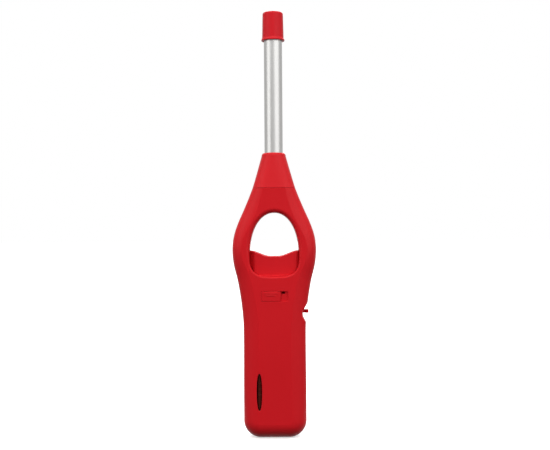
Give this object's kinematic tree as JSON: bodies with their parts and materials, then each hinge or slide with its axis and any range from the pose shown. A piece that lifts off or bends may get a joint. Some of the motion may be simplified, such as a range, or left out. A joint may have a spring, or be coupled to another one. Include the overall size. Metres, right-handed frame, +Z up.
{
  "type": "gas torch lighter",
  "caption": "Hand-held piezo gas torch with a finger-ring handle, pull trigger, safety slide, flame lever, fuel window, long metal wand and a pull-off tip cap.",
  "frame": {"origin": "middle of the flat base, at its lowest plane", "axes": "+Z up along the wand to its tip, +X to the flame lever's side, -Y out of the front face with the fuel window and the safety slide"},
  "size_m": [0.0448, 0.0204, 0.228],
  "materials": {
    "red_plastic": "glossy opaque red moulding",
    "red_trigger": "satin opaque red moulding",
    "satin_steel": "satin, brushed along the tube",
    "brass": "turned",
    "spring_steel": "bright",
    "smoked_plastic": "smoked, seen through the window",
    "black_plastic": "moulded",
    "white_plastic": "natural moulding",
    "ceramic": "unglazed",
    "rubber": "matt",
    "wire_sleeve": "insulated lead"
  },
  "bodies": {
    "housing": {"front_shell": "red_plastic", "rear_shell": "red_plastic", "case_screw_1": "spring_steel", "case_screw_2": "spring_steel", "case_screw_3": "spring_steel", "nose_cone": "red_plastic", "tube_retainer": "spring_steel", "wand_tube": "satin_steel", "gas_pipe": "brass", "nozzle_holder": "ceramic", "burner_nozzle": "brass", "electrode": "spring_steel", "fuel_tank": "smoked_plastic", "tank_lid": "black_plastic", "fuel_wick": "white_plastic", "fill_valve_body": "brass", "valve_body": "brass", "valve_spring": "spring_steel", "valve_seal": "rubber", "gas_lever_pin": "spring_steel", "gas_hose": "white_plastic", "ignition_wire": "wire_sleeve", "ground_wire": "wire_sleeve", "piezo_case": "black_plastic", "piezo_anvil": "spring_steel", "piezo_crystal": "ceramic", "impact_spring": "spring_steel", "piezo_return_spring": "spring_steel"},
    "trigger": {"trigger": "red_trigger", "piezo_plunger": "white_plastic"},
    "gas_lever": {"gas_lever": "spring_steel"},
    "valve_stem": {"valve_stem": "brass"},
    "fill_stem": {"fill_valve_stem": "brass"},
    "flame_adjuster": {"flame_adjuster": "red_trigger"},
    "safety_slide": {"safety_slide": "red_trigger", "safety_clip": "spring_steel"},
    "tip_cap": {"tip_cap": "red_plastic"},
    "hammer": {"piezo_hammer": "spring_steel"}
  },
  "joints": [
    {"name": "trigger_press", "type": "slide", "parent": "housing", "child": "trigger", "axis": [0, 0, -1], "range_m": [0, 0.006], "stiffness_N_per_m": 2500, "springref_m": -0.002, "deforming": ["piezo_return_spring", "impact_spring"]},
    {"name": "gas_lever_tilt", "type": "hinge", "parent": "housing", "child": "gas_lever", "pos_m": [0.0019, 0, 0.0706], "axis": [0, -1, 0], "range_deg": [0, 9.2]},
    {"name": "valve_stem_lift", "type": "slide", "parent": "housing", "child": "valve_stem", "axis": [0, 0, 1], "range_m": [0, 0.0008], "deforming": ["valve_spring"]},
    {"name": "flame_adjust", "type": "hinge", "parent": "housing", "child": "flame_adjuster", "pos_m": [0.0068, 0, 0.06725], "axis": [0, 0, 1], "range_deg": [-15, 15]},
    {"name": "safety_slide_move", "type": "slide", "parent": "housing", "child": "safety_slide", "axis": [1, 0, 0], "range_m": [0, 0.0035]},
    {"name": "tip_cap_pull", "type": "slide", "parent": "housing", "child": "tip_cap", "axis": [0, 0, 1], "range_m": [0, 0.03]},
    {"name": "hammer_strike", "type": "slide", "parent": "housing", "child": "hammer", "axis": [0, 0, -1], "range_m": [0, 0.0066], "stiffness_N_per_m": 300, "springref_m": -0.001},
    {"name": "fill_valve_press", "type": "slide", "parent": "housing", "child": "fill_stem", "axis": [0, 0, 1], "range_m": [0, 0.0008], "stiffness_N_per_m": 2000, "springref_m": -0.0005}
  ],
  "couplings": [
    {"joint": "gas_lever_tilt", "follows": "trigger_press", "rad_per_m": 26.6},
    {"joint": "valve_stem_lift", "follows": "trigger_press", "ratio": 0.133}
  ]
}
